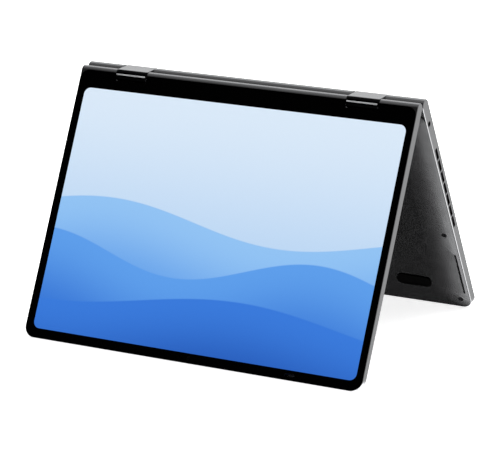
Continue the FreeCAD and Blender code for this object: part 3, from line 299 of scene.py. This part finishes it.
# The nose colour is painted shade: it darkens the front of the hinge blocks to near black.
dress(metal("hinge_metal", (0.29, 0.295, 0.305), 0.22, nose=(0.012, 0.012, 0.013)),
      "hinge_covers")
dress(metal("touchpad_face", (0.15, 0.155, 0.16), 0.28, 0.2, 0.002), "touchpad")
KEY_NODES = [name for name in NODES if name.startswith("key_row")]
KEY_NODES += ["space_bar", "enter_key", "power_key"]
dress(moulded("key_plastic", (0.011, 0.0115, 0.013), 0.5, 0.16, 0.008, 0.28), *KEY_NODES)
dress(moulded("frame_plastic", (0.008, 0.008, 0.009), 0.6, specular=0.2), "keyboard_frame",
      "battery_frame", "antennas", "touchpad_switch", "display_backlight", "speakers")
dress(moulded("foot_rubber", (0.0006, 0.0006, 0.0006), 0.5, 0.3, 0.008, 0.008), "front_feet",
      "rear_foot")
dress(moulded("black_ink", (0.0004, 0.0004, 0.0005), 0.6, specular=0.0), "bezel_mask")
dress(moulded("lens_black", (0.001, 0.001, 0.0012), 0.3, 0.25, 0.001, 0.2), "camera_module",
      "microphones", "audio_jack")
dress(moulded("chip_plastic", (0.014, 0.014, 0.016), 0.5, specular=0.3), "processor",
      "memory_chips", "fan_housing", "fan_rotor")
dress(moulded("cell_wrap", (0.025, 0.025, 0.028), 0.35), "battery_cells")
dress(circuit("solder_mask"), "mainboard", "wifi_card", "ssd_module")
dress(brushed("copper", (0.78, 0.42, 0.26), 0.3), "cold_plate", "heat_pipe", "heatsink_fins")
dress(brushed("steel", (0.5, 0.5, 0.51), 0.32), "keyboard_plate", "touchpad_bracket",
      "board_standoffs", "board_screws", "usb_c_sockets", "base_magnets",
      "lid_magnets", "hinge_base_arms", "hinge_base_screws", "hinge_base_gears",
      "hinge_lid_arms", "hinge_lid_screws", "hinge_lid_gears", "hinge_carrier_plates",
      "hinge_friction_clips", "idler_gears_base_side", "idler_gears_lid_side")
dress(brushed("black_steel", (0.012, 0.012, 0.013), 0.5), "bottom_screws", "vent_screen")
dress(clear_glass("clear_glass", 0.12), "cover_glass", "sensor_window")
dress(screen_picture("screen_picture"), "display_panel")


# --------------------------------------------------------------- beads on the hinges
BEAD_RADIUS, BEAD_PROUD, BEAD_MARGIN = 0.55 * MM, 0.36 * MM, 1.0 * MM
BEAD_LIFT = math.radians(13)
BEAD_SIDES, BEAD_END_RINGS = 20, 5
BEAD_TIP = 0.4                   # share of an end ring that its flat tip stands for


def bead(name, start, end, radius):
    """Round-ended bar from start to end."""
    along = (end - start).normalized()
    side = Vector((0, 1, 0))
    up = along.cross(side)
    sides = BEAD_SIDES
    rings = [(start, -1, step) for step in range(BEAD_END_RINGS, -1, -1)]
    rings += [(end, 1, step) for step in range(BEAD_END_RINGS + 1)]
    corners, faces = [], []
    for centre, sign, step in rings:
        angle = math.pi / 2 * step / (BEAD_END_RINGS + BEAD_TIP)
        place = centre + along * (sign * radius * math.sin(angle))
        reach = radius * math.cos(angle)
        for index in range(sides):
            turn = 2 * math.pi * index / sides
            corners.append(place + side * (reach * math.cos(turn))
                           + up * (reach * math.sin(turn)))
    for ring in range(len(rings) - 1):
        for index in range(sides):
            after = (index + 1) % sides
            faces.append([ring * sides + index, ring * sides + after,
                          (ring + 1) * sides + after, (ring + 1) * sides + index])
    faces.append(list(range(sides)))
    faces.append([(len(rings) - 1) * sides + index for index in range(sides)][::-1])
    mesh = bpy.data.meshes.new(name)
    mesh.from_pydata([tuple(corner) for corner in corners], [], faces)
    mesh.shade_smooth()
    piece = bpy.data.objects.new(name, mesh)
    bpy.context.scene.collection.objects.link(piece)
    return piece


def hinge_beads():
    """A bead along the nose of each hinge block, over the screen half's axis: a ridge lit by the
    lights, whose pale colour is also a painted highlight.
    """
    block = NODES["hinge_covers"]
    places = [vertex.co for vertex in block.data.vertices]
    outer = max(place.x for place in places)
    inner = min(place.x for place in places if place.x > 0)
    nose = max((place - LID_AXIS).dot(-ACROSS_AXES.normalized()) for place in places)
    out = Matrix.Rotation(-BEAD_LIFT, 3, "X") @ -ACROSS_AXES.normalized()
    centre = LID_AXIS + out * (nose + BEAD_PROUD - BEAD_RADIUS)
    for side, name in ((1, "hinge_bead_left"), (-1, "hinge_bead_right")):
        ends = [Vector((side * x, centre.y, centre.z))
                for x in (inner + BEAD_MARGIN, outer - BEAD_MARGIN)]
        piece = bead(name, min(ends, key=lambda end: end.x), max(ends, key=lambda end: end.x),
                     BEAD_RADIUS)
        piece.data.materials.append(bead_highlight_material)
        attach(piece, "hinge_blocks")


# Pale grey bead colour: a painted highlight along the hinge nose, added to what the lights give
# the ridge.
bead_highlight_material = moulded("bead_painted_highlight", (0.5, 0.505, 0.515), 0.4, 0.3, 0.002)
hinge_beads()


# ------------------------------------------------------------------- softened edges
WELD_MM, SHARP = 0.001, math.radians(40)


def soften(name, width_mm, segments=3):
    """Rounds a CAD node's sharp edges in the render; its own mesh stays as it is."""
    node = NODES[name]
    weld = node.modifiers.new("weld", "WELD")
    weld.merge_threshold = WELD_MM * MM
    bevel = node.modifiers.new("soft_edges", "BEVEL")
    bevel.width = width_mm * MM
    bevel.segments = segments
    bevel.limit_method = "ANGLE"
    bevel.angle_limit = SHARP
    bevel.harden_normals = True


def swell(name, by_mm):
    """Lifts a layer clear of the glass face that it touches, so neither flickers."""
    lift = NODES[name].modifiers.new("swell", "DISPLACE")
    lift.mid_level = 0.0
    lift.strength = by_mm * MM


for key_name in KEY_NODES:
    soften(key_name, 0.22)
swell("bezel_mask", 0.02)
soften("touchpad", 0.12, 2)


# ------------------------------------------------------------------------ key legends
LEGENDS = {
    "key_row_function": ["esc"] + ["F%d" % number for number in range(1, 13)] + ["del"],
    "key_row_number": list("`1234567890-=") + ["backspace"],
    "key_row_upper": ["tab"] + list("QWERTYUIOP[]") + ["\\"],
    "key_row_home": ["caps"] + list("ASDFGHJKL;'"),
    "key_row_lower": ["shift"] + list("ZXCVBNM,./") + ["shift"],
    "key_row_bottom": ["ctrl", "fn", "start", "alt", "alt", "ctrl", "<", "^", "v", ">"],
    "enter_key": ["enter"],
}


FLAT_ENOUGH = 0.999              # of a face's normal along the deck's
SAME_CORNER, SAME_TOP, SAME_COLUMN = 0.01 * MM, 0.2 * MM, 2 * MM


def cap_boxes(name):
    """Middle, width and depth of every cap's flat top, from the user's left."""
    node = NODES[name]
    groups = {}

    def top(key):
        while groups[key] != key:
            key = groups[key]
        return key

    spots = {}
    for face in node.data.polygons:
        if face.normal.dot(BASE_UP) < FLAT_ENOUGH:
            continue
        keys = []
        for index in face.vertices:
            at = node.data.vertices[index].co
            key = tuple(round(value / SAME_CORNER) for value in at)
            groups.setdefault(key, key)
            spots[key] = at
            keys.append(key)
        for key in keys[1:]:
            groups[top(key)] = top(keys[0])
    caps = {}
    for key in groups:
        caps.setdefault(top(key), []).append(spots[key] - BASE_AXIS)
    boxes = []
    for corners in caps.values():
        xs = [corner.x for corner in corners]
        downs = [corner.dot(BASE_DOWN) for corner in corners]
        height = max(corner.dot(BASE_UP) for corner in corners)
        middle = Vector(((min(xs) + max(xs)) / 2, (min(downs) + max(downs)) / 2, height))
        boxes.append((middle, max(xs) - min(xs), max(downs) - min(downs)))
    highest = max(box[0].z for box in boxes)
    boxes = [box for box in boxes if box[0].z > highest - SAME_TOP]
    return sorted(boxes, key=lambda box: (-round(box[0].x / SAME_COLUMN), box[0].y))


LEGEND_HEIGHT, SMALL_LEGEND, LEGEND_LIFT = 3.4 * MM, 2.1 * MM, 0.012 * MM
FONT_SIZE = 1.35                 # font size over the height of its capitals
MARK_RADIUS, MARK_HALF_LINE, MARK_BAR = 1.5 * MM, 0.17 * MM, 1.15
MARK_GAP, MARK_STEPS = 70, 28    # degrees left open at the top of the ring
DECK_TURN = Matrix((Vector((-1, 0, 0)), -BASE_DOWN, BASE_UP)).transposed().to_4x4()


def legend_mesh(text, middle):
    """One legend's flat letters on a cap's top."""
    curve = bpy.data.curves.new("legend", "FONT")
    curve.body = text
    curve.align_x = "CENTER"
    curve.align_y = "CENTER"
    curve.size = (LEGEND_HEIGHT if len(text) == 1 else SMALL_LEGEND) * FONT_SIZE
    curve.extrude = LEGEND_LIFT / 2
    letters = bpy.data.objects.new("legend", curve)
    mesh = bpy.data.meshes.new_from_object(letters)
    place = BASE_AXIS + Vector((middle.x, 0, 0)) + BASE_DOWN * middle.y
    place = place + BASE_UP * (middle.z + LEGEND_LIFT / 2)
    mesh.transform(Matrix.Translation(place) @ DECK_TURN)
    bpy.data.objects.remove(letters)
    return mesh


def joined(name, meshes):
    """One object from several meshes."""
    whole = bpy.data.meshes.new(name)
    corners, faces = [], []
    for mesh in meshes:
        start = len(corners)
        corners += [tuple(vertex.co) for vertex in mesh.vertices]
        faces += [[start + index for index in face.vertices] for face in mesh.polygons]
        bpy.data.meshes.remove(mesh)
    whole.from_pydata(corners, [], faces)
    whole.update()
    piece = bpy.data.objects.new(name, whole)
    bpy.context.scene.collection.objects.link(piece)
    return piece


def power_mark(middle):
    """Broken ring and bar."""
    radius, line = MARK_RADIUS, MARK_HALF_LINE
    corners = []
    for step in range(MARK_STEPS + 1):
        angle = math.radians(90 + MARK_GAP / 2 + (360 - MARK_GAP) * step / MARK_STEPS)
        for reach in (radius - line, radius + line):
            corners.append((reach * math.cos(angle), reach * math.sin(angle), 0))
    faces = [[2 * step, 2 * step + 1, 2 * step + 3, 2 * step + 2] for step in range(MARK_STEPS)]
    start, top = len(corners), radius * MARK_BAR
    corners += [(-line, 0, 0), (line, 0, 0), (line, top, 0), (-line, top, 0)]
    faces.append([start, start + 1, start + 2, start + 3])
    mesh = bpy.data.meshes.new("power_mark")
    mesh.from_pydata(corners, [], faces)
    place = BASE_AXIS + Vector((middle.x, 0, 0)) + BASE_DOWN * middle.y
    mesh.transform(Matrix.Translation(place + BASE_UP * (middle.z + LEGEND_LIFT)) @ DECK_TURN)
    return mesh


legend_paint = moulded("legend_paint", (0.62, 0.64, 0.66), 0.45, 0.3, 0.002)
for node_name, texts in LEGENDS.items():
    caps = cap_boxes(node_name)
    marks = [legend_mesh(text, cap[0]) for text, cap in zip(texts, caps)]
    piece = joined(node_name + "_legends", marks)
    piece.data.materials.append(legend_paint)
    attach(piece, node_name)
mark = joined("power_key_legend", [power_mark(cap_boxes("power_key")[0][0])])
mark.data.materials.append(legend_paint)
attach(mark, "power_key")


# ----------------------------------------------------------------------------- studio
def area_light(name, place, target, size, power):
    """Soft light that neither the eye nor a reflection sees."""
    data = bpy.data.lights.new(name, "AREA")
    data.shape = "RECTANGLE"
    data.size, data.size_y = size
    data.energy = power
    light = bpy.data.objects.new(name, data)
    light.location = place
    light.rotation_euler = (Vector(target) - Vector(place)).to_track_quat("-Z", "Y").to_euler()
    light.visible_camera = False
    light.visible_glossy = False
    bpy.context.scene.collection.objects.link(light)


DIM = 0.03                       # light that reflections see from everywhere
# Lit parts of the room: level, then where each lit side starts and is full, as parts of the
# unit vector towards it.
GLOWS = (
    (0.98, {"y": (0.1, 0.85)}),                          # behind the computer
    (5.0, {"x": (-0.30, -0.14), "z": (-0.3, -0.7)}),     # below
    (0.55, {"x": (0.1, 0.9)}),                           # right
    (0.45, {"z": (0.62, 0.95)}),                         # above
    (1.6, {"z": (0.38, 0.6), "y": (0.15, 0.5)}),         # high up behind
    (0.45, {"x": (-0.55, -0.9)}),                        # left
    (0.3, {"x": (-0.52, -0.68), "z": (-0.2, -0.5)}),     # left, near the floor
)


def surroundings():
    """White to the eye; to the metal, a dark room with the lit parts above."""
    s = Shade(bpy.data.worlds.new("studio"), "ShaderNodeOutputWorld")
    aim = s.node("ShaderNodeSeparateXYZ")
    s.put(aim, 0, s.tree.nodes.new("ShaderNodeTexCoord").outputs["Generated"])
    towards = dict(zip("xyz", aim.outputs))
    brightest = 0.0
    for level, sides in GLOWS:
        for side, span in sides.items():
            level = s.math("MULTIPLY", s.fade(towards[side], *span), level)
        brightest = s.math("MAXIMUM", brightest, level)
    room = s.node("ShaderNodeBackground", Color=(1, 1, 1))
    s.put(room, "Strength", s.math("ADD", brightest, DIM))
    white = s.node("ShaderNodeBackground", Color=(1, 1, 1), Strength=1.0)
    s.blend(s.tree.nodes.new("ShaderNodeLightPath").outputs["Is Camera Ray"], room, white)
    bpy.context.scene.world = s.owner


FLOOR_REACH = 14.0
PAPER_DARK, PAPER_LIGHT, PAPER_GLOW = (0.93,) * 3, (0.95,) * 3, 0.8
SOFTBOX_PLACE, SOFTBOX_SIZE, SOFTBOX_POWER = (0.1, 0.2, 2.4), (2.6, 2.6), 60


def studio():
    """Pale floor, surroundings, one soft light and a plain view transform."""
    mesh = bpy.data.meshes.new("floor")
    sides = ((-1, -1), (1, -1), (1, 1), (-1, 1))
    mesh.from_pydata([(x * FLOOR_REACH, y * FLOOR_REACH, 0) for x, y in sides], [],
                     [(0, 1, 2, 3)])
    floor = bpy.data.objects.new("floor", mesh)
    bpy.context.scene.collection.objects.link(floor)
    s = Shade(bpy.data.materials.new("floor_paper"))
    tone = s.mix(s.noise(180, 2), PAPER_DARK, PAPER_LIGHT)
    s.principled(Base_Color=tone, Roughness=0.9, Specular_IOR_Level=0.0, Emission_Color=tone,
                 Emission_Strength=PAPER_GLOW)
    floor.data.materials.append(s.owner)
    floor.visible_glossy = False
    floor.visible_diffuse = False
    surroundings()
    area_light("top_softbox", SOFTBOX_PLACE, (0, 0, 0), SOFTBOX_SIZE, SOFTBOX_POWER)
    view = bpy.context.scene.view_settings
    view.view_transform = "Standard"
    view.look = "None"


# ----------------------------------------------------------------------------- camera
VIEW_AZIMUTH, VIEW_ELEVATION, VIEW_ROLL = 27.64, 17.19, -0.73
VIEW_DISTANCE = 2.060
AIM_FROM_HINGE = Vector((0.0159, -0.033368, -0.100801))
FOCAL_WIDTHS = 5.304             # focal length over the sensor's width
SENSOR_WIDTH = 36.0


def camera():
    """Eye placed from the middle of the hinges, so that it follows the stance."""
    azimuth, elevation = math.radians(VIEW_AZIMUTH), math.radians(VIEW_ELEVATION)
    back = Vector((math.sin(azimuth) * math.cos(elevation),
                   -math.cos(azimuth) * math.cos(elevation), math.sin(elevation)))
    data = bpy.data.cameras.new("camera")
    data.sensor_width = SENSOR_WIDTH
    data.lens = FOCAL_WIDTHS * data.sensor_width
    seen = bpy.data.objects.new("camera", data)
    turn = back.to_track_quat("Z", "Y").to_matrix().to_4x4()
    about_hinge = (Matrix.Translation(AIM_FROM_HINGE + back * VIEW_DISTANCE) @ turn
                   @ Matrix.Rotation(math.radians(VIEW_ROLL), 4, "Z"))
    seen.matrix_world = (Matrix.Translation(BETWEEN_AXES) @ Matrix.Rotation(TILT, 4, "X")
                         @ about_hinge)
    bpy.context.scene.collection.objects.link(seen)
    bpy.context.scene.camera = seen


studio()
camera()
